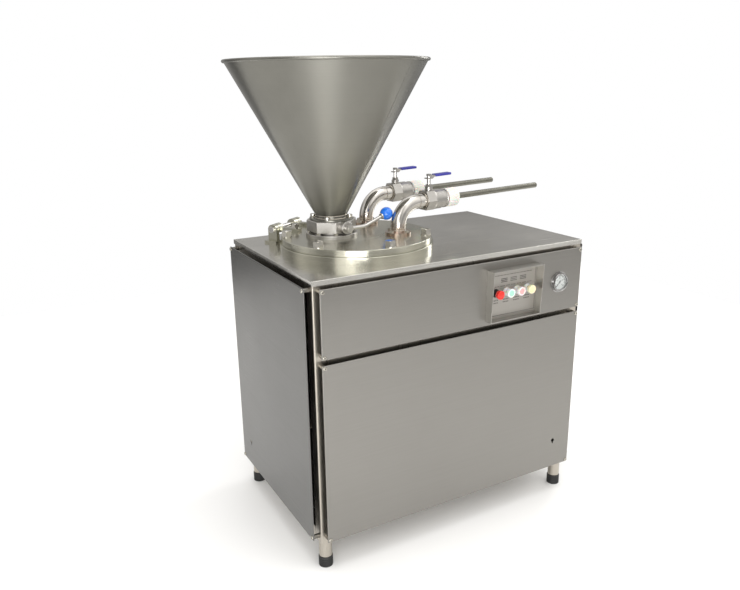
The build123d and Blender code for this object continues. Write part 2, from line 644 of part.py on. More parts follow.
with BuildPart() as outlet_valve_bodies:
    for name in outlets:
        plane = outlet_plane(name)
        axis = Axis(plane.origin, plane.x_dir)
        with BuildSketch(outlet_section(name, BALL_VALVE_START)):
            RegularPolygon(HEX_AF / 2, 6, major_radius=False, rotation=30)
        extrude(amount=HEX_END - BALL_VALVE_START)
        with BuildSketch(plane):
            with BuildLine():
                Polyline(
                    (HEX_END - 4, 0),
                    (HEX_END - 4, BODY_R - 3),
                    (HEX_END + 4, BODY_R),
                    (BODY_END - 22, BODY_R),
                    (BODY_END - 20, BODY_R - 3),
                    (BODY_END - 6, BODY_R - 3),
                    (BODY_END - 4, BODY_R - 1),
                    (BODY_END, BODY_R - 1),
                    (BODY_END, SPIGOT_R),
                    (SPIGOT_END, SPIGOT_R),
                    (SPIGOT_END, 0),
                    close=True,
                )
            make_face()
        revolve(axis=axis)
        centre = outlet_plane(name, BALL_CENTRE).origin
        cylinder(level(centre.X, centre.Y, OUTLET_Z), 13, HEX_AF / 2 + 12)
        with BuildSketch(level(centre.X, centre.Y, OUTLET_Z + HEX_AF / 2 + 12)):
            RegularPolygon(10, 6, major_radius=False)
        extrude(amount=8)
        cylinder(outlet_section(name, BALL_VALVE_START), BALL_BORE_R, 200, Mode.SUBTRACT)
        cylinder(level(centre.X, centre.Y, OUTLET_Z), STEM_R + FIT, 100, Mode.SUBTRACT)
        with Locations(centre):
            Sphere(BALL_R + 0.1, mode=Mode.SUBTRACT)
save(outlet_valve_bodies, "outlet_valve_bodies")

for name in outlets:
    centre = outlet_plane(name, BALL_CENTRE).origin
    lever_base = OUTLET_Z + STEM_TOP - 6
    stem_spot = level(centre.X, centre.Y, OUTLET_Z)
    with BuildPart() as valve_ball:
        with Locations(centre):
            Sphere(BALL_R)
        cylinder(stem_spot, STEM_R, STEM_TOP)
        cylinder(outlet_section(name, BALL_CENTRE - 50), BALL_BORE_R, 100, Mode.SUBTRACT)
        with BuildSketch(stem_spot.offset(STEM_TOP - 1)):
            RegularPolygon(8, 6, major_radius=False)
        extrude(amount=6)
    save(valve_ball, f"{name}_valve_ball")

    side = outlet_plane(name, BALL_CENTRE)
    blade = [(-12, 70), (10, 70), (20, 78), (86, 79)]
    with BuildPart() as valve_lever:
        with BuildSketch(side.offset(-9)):
            with BuildLine():
                lower = FilletPolyline(*blade, radius=5)
                upper = FilletPolyline(*[(x, z + 3) for x, z in blade], radius=5)
                Line(lower @ 0, upper @ 0)
                Line(lower @ 1, upper @ 1)
            make_face()
        extrude(amount=18)
        cylinder(stem_spot.offset(50), STEM_R + FIT, 50, Mode.SUBTRACT)
    save(valve_lever, f"{name}_valve_lever")

    with BuildPart() as lever_sleeve:
        with BuildSketch(side.offset(-11.5)):
            with BuildLine():
                grip = [(21, 75.5), (SLEEVE_TIP, 76.6)]
                Polyline(*grip, (SLEEVE_TIP, 84.6), (21, 83.5), close=True)
            make_face()
        extrude(amount=23)
        fillet(lever_sleeve.edges(), 2)
        with BuildSketch(side.offset(-9.05)):
            with BuildLine():
                lower = FilletPolyline(*[(x, z - 0.05) for x, z in blade], radius=5)
                upper = FilletPolyline(*[(x, z + 3.05) for x, z in blade], radius=5)
                Line(lower @ 0, upper @ 0)
                Line(lower @ 1, upper @ 1)
            make_face()
        extrude(amount=18.1, mode=Mode.SUBTRACT)
    save(lever_sleeve, f"{name}_lever_sleeve")

    with BuildPart() as tube_nut:
        cylinder(outlet_section(name, NUT_START), NUT_R, NUT_END - NUT_START)
        chamfer(tube_nut.faces().sort_by(Axis(side.origin, side.x_dir))[-1].edges(), 5)
        with BuildSketch(outlet_section(name, NUT_START)):
            with PolarLocations(NUT_R + 1.2, 20):
                Circle(2.4)
        extrude(amount=34, mode=Mode.SUBTRACT)
        cylinder(outlet_section(name, NUT_START), SPIGOT_R + FIT, NUT_END - NUT_START - 10, Mode.SUBTRACT)
        cylinder(outlet_section(name, NUT_START), TUBE_SHOULDER_R + 0.1, 80, Mode.SUBTRACT)
    save(tube_nut, f"{name}_tube_nut")

with BuildPart() as stuffing_tubes:
    for name in outlets:
        tube_start = SPIGOT_END + 0.1
        cylinder(outlet_section(name, tube_start), TUBE_COLLAR_R, 5)
        cylinder(outlet_section(name, tube_start), TUBE_SHOULDER_R, TUBE_SHOULDER_END - tube_start)
        cylinder(outlet_section(name, tube_start), TUBE_R, OUTLET_TUBE_END[name] - tube_start)
        cylinder(outlet_section(name, tube_start), TUBE_BORE_R, 500, Mode.SUBTRACT)
save(stuffing_tubes, "stuffing_tubes")

# ==== control box: a hood whose sides taper down to the panel, round a plate with four buttons ====
front = panel_planes["front"]
hood_x = (HOOD_LEFT + HOOD_RIGHT) / 2
hood_z = (HOOD_BOTTOM + HOOD_TOP) / 2
with BuildPart() as control_hood:
    hood_side = Plane(origin=(LEFT + HOOD_LEFT, FRONT - PANEL_PROUD, 0), x_dir=(0, 1, 0), z_dir=(1, 0, 0))
    low_edge = [(HOOD_SINK, HOOD_BOTTOM), (-HOOD_REACH_LOW, HOOD_BOTTOM)]
    high_edge = [(-HOOD_REACH, HOOD_TOP), (HOOD_SINK, HOOD_TOP)]
    with BuildSketch(hood_side):
        with BuildLine():
            Polyline(*low_edge, *high_edge, close=True)
        make_face()
    extrude(amount=HOOD_RIGHT - HOOD_LEFT)
    with BuildSketch(front.offset(-HOOD_SINK)):
        with Locations((hood_x, hood_z)):
            Rectangle(HOOD_RIGHT - HOOD_LEFT - 2 * HOOD_WALL, HOOD_TOP - HOOD_BOTTOM - 2 * HOOD_WALL)
    extrude(amount=HOOD_SINK + HOOD_REACH + 5, mode=Mode.SUBTRACT)
save(control_hood, "control_hood")

with BuildPart() as control_plate:
    with BuildSketch(front.offset(-HOOD_SINK)):
        with Locations((hood_x, hood_z)):
            Rectangle(HOOD_RIGHT - HOOD_LEFT - 2 * HOOD_WALL - 0.6, HOOD_TOP - HOOD_BOTTOM - 2 * HOOD_WALL - 0.6)
        for i in range(4):
            with Locations((BUTTON_FIRST + i * BUTTON_SPACING, BUTTON_Z)):
                Circle(BUTTON_STEM_R + 0.3, mode=Mode.SUBTRACT)
    extrude(amount=PLATE_THICK)
save(control_plate, "control_plate")

plate_front = PLATE_THICK - HOOD_SINK
with BuildPart() as button_collars:
    for i in range(4):
        with BuildSketch(front.offset(plate_front)):
            with Locations((BUTTON_FIRST + i * BUTTON_SPACING, BUTTON_Z)):
                Circle(BUTTON_COLLAR_R)
                Circle(BUTTON_STEM_R + 0.3, mode=Mode.SUBTRACT)
        extrude(amount=BUTTON_BACK - BUTTON_TRAVEL - 0.5 - plate_front)
save(button_collars, "button_collars")

for i, name in enumerate(BUTTON_NAMES):
    with BuildPart() as button:
        with BuildSketch(front.offset(BUTTON_BACK)):
            with Locations((BUTTON_FIRST + i * BUTTON_SPACING, BUTTON_Z)):
                Circle(BUTTON_HEAD_R)
        extrude(amount=13)
        fillet(button.faces().sort_by(Axis.Y)[0].edges(), 5)
        with BuildSketch(front.offset(BUTTON_BACK)):
            with Locations((BUTTON_FIRST + i * BUTTON_SPACING, BUTTON_Z)):
                Circle(BUTTON_STEM_R)
        extrude(amount=-BUTTON_BACK - HOOD_SINK - 4)
    save(button, name)

# ==== pressure gauge, let into the upper front panel ====
gauge_front = Plane(origin=front.from_local_coords((GAUGE_AT[0], GAUGE_AT[1], 0)), x_dir=(1, 0, 0),
                    z_dir=(0, -1, 0))
with BuildPart() as gauge_case:
    cylinder(gauge_front.offset(-34), GAUGE_R - 3.2, 36)
    cylinder(gauge_front, GAUGE_FLANGE_R, 1.5)
    cylinder(gauge_front, GAUGE_R, 10)
    fillet(gauge_case.faces().sort_by(Axis.Y)[0].edges(), 2.5)
    cylinder(gauge_front.offset(1), GAUGE_DIAL_R + 0.3, 20, Mode.SUBTRACT)
    cylinder(gauge_front.offset(-46), 6, 12)
    with BuildSketch(gauge_front):
        with Locations((0, GAUGE_R + 3)):
            Circle(1.6)
    extrude(amount=3)
save(gauge_case, "gauge_case")

with BuildPart() as gauge_dial:
    cylinder(gauge_front.offset(1), GAUGE_DIAL_R, 1)
    cylinder(gauge_front.offset(1), 2, 3.5)
save(gauge_dial, "gauge_dial")

pointer_rest_angle = 225
with BuildPart() as gauge_pointer:
    with BuildSketch(gauge_front.offset(3)):
        Circle(4)
        with Locations(Location((0, 0, 0), (0, 0, pointer_rest_angle))):
            with Locations(((GAUGE_DIAL_R - 11) / 2, 0)):
                Rectangle(GAUGE_DIAL_R + 3, 1.6)
        Circle(2.05, mode=Mode.SUBTRACT)
    extrude(amount=0.8)
save(gauge_pointer, "gauge_pointer")

with BuildPart() as gauge_lens:
    cylinder(gauge_front.offset(6), GAUGE_DIAL_R, 2)
save(gauge_lens, "gauge_lens")

# ==== piston and hydraulic cylinder under the barrel ====
piston_bottom = BARREL_FLOOR_TOP + 1
with BuildPart() as piston:
    cylinder(level(*LID, piston_bottom), BARREL_R - 0.5, PISTON_HEIGHT)
    with BuildSketch(level(*LID, piston_bottom + 11)):
        Circle(BARREL_R + 1)
        Circle(BARREL_R - 6, mode=Mode.SUBTRACT)
    extrude(amount=8, mode=Mode.SUBTRACT)
    cylinder(level(*LID, piston_bottom), ROD_R - 4 + 0.02, 16, Mode.SUBTRACT)
save(piston, "piston")

with BuildPart() as piston_seal:
    ring(level(*LID, piston_bottom + 11.1), BARREL_R - FIT, BARREL_R - 5.9, 7.8)
save(piston_seal, "piston_seal")

rod_bottom = CYLINDER_BOTTOM + 20
with BuildPart() as piston_rod:
    cylinder(level(*LID, rod_bottom + 30), ROD_R, piston_bottom - rod_bottom - 30)
    cylinder(level(*LID, piston_bottom), ROD_R - 4, 15.9)
    cylinder(level(*LID, rod_bottom), CYLINDER_BORE_R - FIT, 30)
save(piston_rod, "piston_rod")

with BuildPart() as hydraulic_cylinder:
    cylinder(level(*LID, CYLINDER_BOTTOM), CYLINDER_R, CYLINDER_TOP - CYLINDER_BOTTOM)
    cylinder(level(*LID, CYLINDER_TOP - 18), 80, 18)
    cylinder(level(*LID, base_z + SHEET), 70, CYLINDER_BOTTOM - base_z - SHEET)
    cylinder(level(*LID, CYLINDER_BOTTOM + 15), CYLINDER_BORE_R, 337, Mode.SUBTRACT)
    cylinder(level(*LID, CYLINDER_TOP - 30), ROD_R + FIT, 40, Mode.SUBTRACT)
    for z in (CYLINDER_BOTTOM + 32, CYLINDER_TOP - 40):
        port = Plane(origin=(LID[0] + CYLINDER_R - 6, LID[1], z), x_dir=(0, 1, 0), z_dir=(1, 0, 0))
        cylinder(port, 14, 20)
save(hydraulic_cylinder, "hydraulic_cylinder")

# ==== hydraulic power pack: tank, motor, coupling, pump, valve block and pipes ====
tank_low = (LEFT + TANK_BOX[0], FRONT + TANK_BOX[1], base_z + SHEET)
tank_high = (LEFT + TANK_BOX[2], FRONT + TANK_BOX[3], TANK_TOP)
drive_y = (tank_low[1] + tank_high[1]) / 2
drive_plane = Plane(origin=(LEFT, drive_y, MOTOR_Z), x_dir=(0, 1, 0), z_dir=(1, 0, 0))
with BuildPart() as oil_tank:
    block(tank_low, tank_high)
    fillet(oil_tank.edges().filter_by(Axis.Z), 15)
    offset(amount=-2, kind=Kind.INTERSECTION, mode=Mode.SUBTRACT)
    cylinder(level(LEFT + 620, FRONT + 460, TANK_TOP), 22, 14)
save(oil_tank, "oil_tank")

with BuildPart() as pump_motor:
    cylinder(drive_plane.offset(MOTOR_SPAN[0]), MOTOR_R, MOTOR_SPAN[1] - MOTOR_SPAN[0])
    fillet(pump_motor.edges().filter_by(GeomType.CIRCLE).sort_by(Axis.X)[-1], 12)
    cylinder(drive_plane.offset(MOTOR_SPAN[0]), SHAFT_R + FIT, 30, Mode.SUBTRACT)
    fin_low = TANK_TOP
    block((LEFT + 740, drive_y - 60, fin_low), (LEFT + 880, drive_y + 60, MOTOR_Z - 60))
    block((LEFT + 770, drive_y - 45, MOTOR_Z + 70), (LEFT + 850, drive_y + 45, MOTOR_Z + 110))
save(pump_motor, "pump_motor")

with BuildPart() as drive_coupling:
    cylinder(drive_plane.offset(PUMP_SPAN[1] - 20), SHAFT_R, MOTOR_SPAN[0] - PUMP_SPAN[1] + 45)
    cylinder(drive_plane.offset(PUMP_SPAN[1] + 10), 32, MOTOR_SPAN[0] - PUMP_SPAN[1] - 20)
    groove = (PUMP_SPAN[1] + MOTOR_SPAN[0]) / 2 - 3
    with BuildSketch(drive_plane.offset(groove)):
        Circle(40)
        Circle(28, mode=Mode.SUBTRACT)
    extrude(amount=6, mode=Mode.SUBTRACT)
save(drive_coupling, "drive_coupling")

with BuildPart() as oil_pump:
    block((LEFT + PUMP_SPAN[0], drive_y - 45, TANK_TOP), (LEFT + PUMP_SPAN[1], drive_y + 45, MOTOR_Z + 45))
    fillet(oil_pump.edges().filter_by(Axis.X), 10)
    cylinder(drive_plane.offset(PUMP_SPAN[1] - 22), SHAFT_R + FIT, 30, Mode.SUBTRACT)
save(oil_pump, "oil_pump")

valve_low = (LEFT + 600, FRONT + 165, TANK_TOP)
valve_high = (LEFT + 720, FRONT + 235, 480)
with BuildPart() as valve_block:
    block(valve_low, valve_high)
    chamfer(valve_block.edges(), 2)
    for x in (665, 700):
        cylinder(level(LEFT + x, FRONT + 200, 480), 14, 55)
save(valve_block, "valve_block")

port_y = LID[1] - FRONT
port_x = LID_OFFSET[0] + CYLINDER_R + 14
pipe_routes = [
    [(600, 185, 430), (480, 185, 430), (480, 185, 262), (480, port_y, 262), (port_x, port_y, 262)],
    [(600, 215, 462), (430, 215, 462), (430, 215, 566), (430, port_y, 566), (port_x, port_y, 566)],
    [(610, 325, MOTOR_Z + 45), (610, 325, 590), (610, 200, 590), (610, 200, 480)],
    [(640, 200, 480), (640, 200, 640), (GAUGE_AT[0], 200, 640), (GAUGE_AT[0], 200, GAUGE_AT[1]),
     (GAUGE_AT[0], 46 - PANEL_PROUD, GAUGE_AT[1])],
]
with BuildPart() as oil_pipes:
    for route in pipe_routes:
        points = [(LEFT + x, FRONT + y, z) for x, y, z in route]
        with BuildLine() as run:
            FilletPolyline(*points, radius=22)
        with BuildSketch(Plane(origin=run.line @ 0, z_dir=run.line % 0)):
            Circle(OIL_PIPE_R)
        sweep(path=run.line)
save(oil_pipes, "oil_pipes")

# ==== cable gland in the rear panel ====
gland_plane = Plane(origin=panel_planes["rear"].from_local_coords((*gland_at, 0)), x_dir=(-1, 0, 0),
                    z_dir=(0, 1, 0))
with BuildPart() as cable_gland:
    with BuildSketch(gland_plane):
        RegularPolygon(14, 6, major_radius=False)
    extrude(amount=8)
    cylinder(gland_plane.offset(8), 12, 10)
    cylinder(gland_plane.offset(18), 11, GLAND_REACH - 18)
    fillet(cable_gland.faces().sort_by(Axis.Y)[-1].edges(), 4)
    cylinder(gland_plane.offset(-12), 10, 12)
    cylinder(gland_plane.offset(-12), 5, 60, Mode.SUBTRACT)
save(cable_gland, "cable_gland")
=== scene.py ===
import json
from math import cos, pi, radians, sin

import bmesh
import bpy
from mathutils import Matrix, Vector


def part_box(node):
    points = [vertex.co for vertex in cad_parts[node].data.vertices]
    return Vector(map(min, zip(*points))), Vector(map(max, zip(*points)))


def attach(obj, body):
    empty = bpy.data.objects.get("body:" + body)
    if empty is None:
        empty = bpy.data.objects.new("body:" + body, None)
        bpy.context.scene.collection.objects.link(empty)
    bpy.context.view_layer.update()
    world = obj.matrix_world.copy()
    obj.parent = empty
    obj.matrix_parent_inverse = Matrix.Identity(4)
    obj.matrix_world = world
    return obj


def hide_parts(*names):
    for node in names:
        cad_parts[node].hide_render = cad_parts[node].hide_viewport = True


# The looks of the sausage stuffer, in metres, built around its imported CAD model.
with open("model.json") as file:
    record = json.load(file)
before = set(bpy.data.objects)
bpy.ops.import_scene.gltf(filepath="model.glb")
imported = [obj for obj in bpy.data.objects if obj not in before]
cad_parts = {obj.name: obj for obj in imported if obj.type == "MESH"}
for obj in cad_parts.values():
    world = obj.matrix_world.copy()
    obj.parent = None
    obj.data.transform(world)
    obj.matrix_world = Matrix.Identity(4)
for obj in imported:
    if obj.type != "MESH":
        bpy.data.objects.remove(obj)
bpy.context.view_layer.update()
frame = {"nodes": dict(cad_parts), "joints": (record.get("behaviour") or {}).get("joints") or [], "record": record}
scene = bpy.context.scene
scene.view_settings.view_transform = "Standard"


# ==== places read from the frame ====
def middle(node):
    """The middle of a CAD node's box."""
    low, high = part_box(node)
    return (low + high) / 2


def joint(name):
    """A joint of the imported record."""
    return next(j for j in frame["joints"] if j["name"] == name)


TABLE_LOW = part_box("worktop")[0]
LID = middle("lid_plate")
LID_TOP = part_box("lid_plate")[1].z
HOPPER = middle("hopper")
HOPPER_LOW, HOPPER_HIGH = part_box("hopper")
PANEL_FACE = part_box("front_upper_panel")[0].y
PLATE_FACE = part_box("control_plate")[0].y
GAUGE = middle("gauge_dial")
DIAL_FACE = PANEL_FACE - 0.002
DIAL_R = (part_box("gauge_dial")[1].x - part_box("gauge_dial")[0].x) / 2
AXIS_DIRECTION = Vector(joint("front_nut_spin")["axis"])
NUT_FROM_BEND = 0.22
OUTLETS = {
    name: Vector(joint(f"{name}_nut_spin")["pos_m"]) - NUT_FROM_BEND * AXIS_DIRECTION
    for name in ("front", "rear")
}

# ==== camera ====
CAMERA_FROM_CORNER = Vector((-0.7658, -1.7110, 1.4553))
CAMERA_AZIMUTH = radians(28.994)
CAMERA_PITCH = radians(16.82)
CAMERA_ROLL = radians(-0.811)
CAMERA_LENS = 34.77


def add_camera():
    """The photograph's view: from the front left, a little above the hopper valve."""
    right = Vector((cos(CAMERA_AZIMUTH), -sin(CAMERA_AZIMUTH), 0))
    ahead = Vector((
        sin(CAMERA_AZIMUTH) * cos(CAMERA_PITCH),
        cos(CAMERA_AZIMUTH) * cos(CAMERA_PITCH),
        -sin(CAMERA_PITCH),
    ))
    up = right.cross(ahead)
    turned_right = right * cos(CAMERA_ROLL) + up * sin(CAMERA_ROLL)
    turned_up = up * cos(CAMERA_ROLL) - right * sin(CAMERA_ROLL)
    place = Vector((TABLE_LOW.x, TABLE_LOW.y, 0)) + CAMERA_FROM_CORNER
    camera = bpy.data.objects.new("camera", bpy.data.cameras.new("camera"))
    camera.data.lens = CAMERA_LENS
    camera.data.sensor_width = 36
    camera.data.clip_end = 60
    axes = Matrix((turned_right, turned_up, -ahead)).transposed()
    camera.matrix_world = Matrix.Translation(place) @ axes.to_4x4()
    scene.collection.objects.link(camera)
    scene.camera = camera


# ==== node helpers ====
def new_material(name):
    """A material with its shader, ready for nodes."""
    material = bpy.data.materials.new(name)
    material.use_nodes = True
    tree = material.node_tree
    return material, tree, tree.nodes["Principled BSDF"]


def add(tree, kind, inputs=None, **settings):
    """A node with settings and inputs; an input given as a socket is linked."""
    node = tree.nodes.new(kind)
    for key, value in settings.items():
        setattr(node, key, value)
    for key, value in (inputs or {}).items():
        if isinstance(value, bpy.types.NodeSocket):
            tree.links.new(value, node.inputs[key])
        else:
            node.inputs[key].default_value = value
    return node


def place_of(tree):
    """Object coordinates, which are the frame's own metres."""
    return add(tree, "ShaderNodeTexCoord").outputs["Object"]


def noise(tree, vector, scale, detail=2.0, roughness=0.55, stretch=(1, 1, 1)):
    """Noise in the frame's metres, stretched along an axis if wanted."""
    mapping = add(tree, "ShaderNodeMapping", {"Vector": vector, "Scale": stretch})
    inputs = {"Vector": mapping.outputs[0], "Scale": scale, "Detail": detail, "Roughness": roughness}
    return add(tree, "ShaderNodeTexNoise", inputs).outputs["Fac"]


def spread(tree, value, low, high, start=0.3, end=0.7):
    """Maps a value from start..end to low..high."""
    inputs = {"Value": value, "From Min": start, "From Max": end, "To Min": low, "To Max": high}
    return add(tree, "ShaderNodeMapRange", inputs).outputs[0]


def math(tree, operation, a, b=0.0):
    """One arithmetic node."""
    return add(tree, "ShaderNodeMath", {0: a, 1: b}, operation=operation).outputs[0]


def blend(tree, factor, a, b, mode="MIX"):
    """Two colours mixed by a factor."""
    inputs = {"Factor": factor, 6: a, 7: b}
    return add(tree, "ShaderNodeMix", inputs, data_type="RGBA", blend_type=mode).outputs[2]


def shade(colour, factor):
    """A colour made lighter or darker."""
    return tuple(min(1.0, c * factor) for c in colour) + (1.0,)


def bump(tree, shader, height, strength, distance):
    """Joins a height to the shader's normal."""
    inputs = {"Height": height, "Strength": strength, "Distance": distance}
    node = add(tree, "ShaderNodeBump", inputs)
    tree.links.new(node.outputs[0], shader.inputs["Normal"])


def link(tree, socket, shader, name):
    """Links a socket to the shader's named input."""
    tree.links.new(socket, shader.inputs[name])


# ==== materials ====
HEAT_COLOUR = (0.50, 0.30, 0.20, 1)
DUST_COLOUR = (0.35, 0.34, 0.32, 1)


def brushed_sheet(name, colour, roughness, brush, smudge=0.06, contrast=0.035):
    """Stainless sheet brushed along one axis, with faint smudges from handling."""
    material, tree, shader = new_material(name)
    shader.inputs["Metallic"].default_value = 1.0
    where = place_of(tree)
    coarse_stretch = tuple(3 if axis == brush else 220 for axis in "xyz")
    fine_stretch = tuple(14 if axis == brush else 1500 for axis in "xyz")
    coarse = noise(tree, where, 1, 3, 0.6, coarse_stretch)
    fine = noise(tree, where, 1, 2, 0.6, fine_stretch)
    cloud = noise(tree, where, 2.4, 3, 0.6)
    lines = math(tree, "ADD", math(tree, "MULTIPLY", coarse, 0.55), math(tree, "MULTIPLY", fine, 0.45))
    tone = blend(tree, spread(tree, lines, 0, 1), shade(colour, 1 - contrast), shade(colour, 1 + contrast))
    dull = blend(tree, spread(tree, cloud, 0, 1), shade((1, 1, 1), 1 - smudge), shade((1, 1, 1), 1))
    link(tree, blend(tree, 1.0, tone, dull, "MULTIPLY"), shader, "Base Color")
    streaks = spread(tree, lines, -0.05, 0.05)
    smears = spread(tree, cloud, roughness - 0.03, roughness + 0.05)
    link(tree, math(tree, "ADD", streaks, smears), shader, "Roughness")
    bump(tree, shader, lines, 0.05, 0.0002)
    return material


def radius_from(tree, where, centre):
    """Distance from an upright axis through a point."""
    offset = add(tree, "ShaderNodeVectorMath", {0: where, 1: tuple(centre)}, operation="SUBTRACT").outputs[0]
    flat = add(tree, "ShaderNodeVectorMath", {0: offset, 1: (1, 1, 0)}, operation="MULTIPLY").outputs[0]
    return add(tree, "ShaderNodeVectorMath", {0: flat}, operation="LENGTH").outputs["Value"]


TURNING_LINES = 420


def turned_metal(name, colour, roughness, centre, anisotropy=0.55, contrast=0.07, tint=None):
    """Steel turned or brushed in circles about an upright axis."""
    material, tree, shader = new_material(name)
    shader.inputs["Metallic"].default_value = 1.0
    shader.inputs["Anisotropic"].default_value = anisotropy
    shader.inputs["Anisotropic Rotation"].default_value = 0.25
    where = place_of(tree)
    radius = radius_from(tree, where, centre)
    height = add(tree, "ShaderNodeSeparateXYZ", {0: where}).outputs[2]
    across = math(tree, "MULTIPLY", radius, TURNING_LINES)
    along = math(tree, "MULTIPLY", height, TURNING_LINES)
    ring_place = add(tree, "ShaderNodeCombineXYZ", {0: across, 2: along})
    rings = noise(tree, ring_place.outputs[0], 1, 3, 0.6)
    cloud = noise(tree, where, 6, 3, 0.6)
    tone = blend(tree, spread(tree, rings, 0, 1), shade(colour, 1 - contrast), shade(colour, 1 + contrast))
    base = blend(tree, spread(tree, cloud, 0, 0.5), tone, shade(tint or colour, 0.92))
    link(tree, base, shader, "Base Color")
    streaks = spread(tree, rings, -0.04, 0.04)
    smears = spread(tree, cloud, roughness - 0.02, roughness + 0.05)
    link(tree, math(tree, "ADD", streaks, smears), shader, "Roughness")
    tangent = add(tree, "ShaderNodeTangent", direction_type="RADIAL", axis="Z")
    link(tree, tangent.outputs[0], shader, "Tangent")
    bump(tree, shader, rings, 0.15, 0.0003)
    return material


def bright_metal(name, colour, roughness, heat=None):
    """Polished steel with fine scratches, and heat colours low down if asked for."""
    material, tree, shader = new_material(name)
    shader.inputs["Metallic"].default_value = 1.0
    where = place_of(tree)
    cloud = noise(tree, where, 30, 3, 0.6)
    scratch = noise(tree, where, 1, 2, 0.7, (60, 900, 60))
    base = blend(tree, spread(tree, cloud, 0, 1), shade(colour, 0.86), shade(colour, 1.08))
    if heat:
        low, high = heat
        height = add(tree, "ShaderNodeSeparateXYZ", {0: where}).outputs[2]
        near = spread(tree, height, 0.75, 0.0, low, high)
        patch = math(tree, "MULTIPLY", near, spread(tree, noise(tree, where, 45, 2), 0.3, 1.0))
        base = blend(tree, patch, base, HEAT_COLOUR)
    link(tree, base, shader, "Base Color")
    streaks = spread(tree, scratch, -0.03, 0.05)
    smears = spread(tree, cloud, roughness - 0.02, roughness + 0.05)
    link(tree, math(tree, "ADD", streaks, smears), shader, "Roughness")
    bump(tree, shader, cloud, 0.06, 0.0008)
    return material


def cast_metal(name, colour, roughness, grain=700):
    """Investment-cast steel: a fine orange-peel grain with darker hollows."""
    material, tree, shader = new_material(name)
    shader.inputs["Metallic"].default_value = 1.0
    where = place_of(tree)
    peel = noise(tree, where, grain, 3, 0.65)
    cloud = noise(tree, where, 60, 3, 0.6)
    tone = blend(tree, spread(tree, peel, 0, 1), shade(colour, 0.85), shade(colour, 1.1))
    link(tree, blend(tree, spread(tree, cloud, 0, 0.6), tone, shade(colour, 0.85)), shader, "Base Color")
    link(tree, spread(tree, cloud, roughness - 0.05, roughness + 0.08), shader, "Roughness")
    bump(tree, shader, peel, 0.35, 0.0006)
    return material


def moulded(name, colour, roughness, grain=900, mottle=0.06, soft=0.0, coat=0.0, depth=0.15):
    """Moulded plastic or rubber: a fine grain, slight mottling and scuffs."""
    material, tree, shader = new_material(name)
    shader.inputs["Coat Weight"].default_value = coat
    shader.inputs["Coat Roughness"].default_value = 0.12
    shader.inputs["Subsurface Weight"].default_value = soft
    shader.inputs["Subsurface Scale"].default_value = 0.002
    where = place_of(tree)
    texture = noise(tree, where, grain, 2, 0.6)
    cloud = noise(tree, where, 40, 3, 0.6)
    tone = blend(tree, spread(tree, cloud, 0, 1), shade(colour, 1 - mottle), shade(colour, 1 + mottle))
    link(tree, tone, shader, "Base Color")
    link(tree, spread(tree, cloud, roughness - 0.04, roughness + 0.08), shader, "Roughness")
    bump(tree, shader, texture, depth, 0.0003)
    return material


def painted(name, colour, roughness):
    """Sprayed paint with orange peel and dusty patches."""
    material, tree, shader = new_material(name)
    where = place_of(tree)
    peel = noise(tree, where, 350, 2, 0.5)
    dust = noise(tree, where, 9, 4, 0.65)
    tone = blend(tree, spread(tree, dust, 0, 0.45), shade(colour, 1), DUST_COLOUR)
    link(tree, tone, shader, "Base Color")
    link(tree, spread(tree, dust, roughness - 0.05, roughness + 0.15), shader, "Roughness")
    bump(tree, shader, peel, 0.12, 0.0005)
    return material


def clear_glass(name):
    """The gauge's window, with faint wiping marks."""
    material, tree, shader = new_material(name)
    shader.inputs["Base Color"].default_value = (0.97, 0.99, 0.99, 1)
    shader.inputs["Transmission Weight"].default_value = 1.0
    shader.inputs["IOR"].default_value = 1.45
    link(tree, spread(tree, noise(tree, place_of(tree), 120, 3), 0.0, 0.05), shader, "Roughness")
    return material


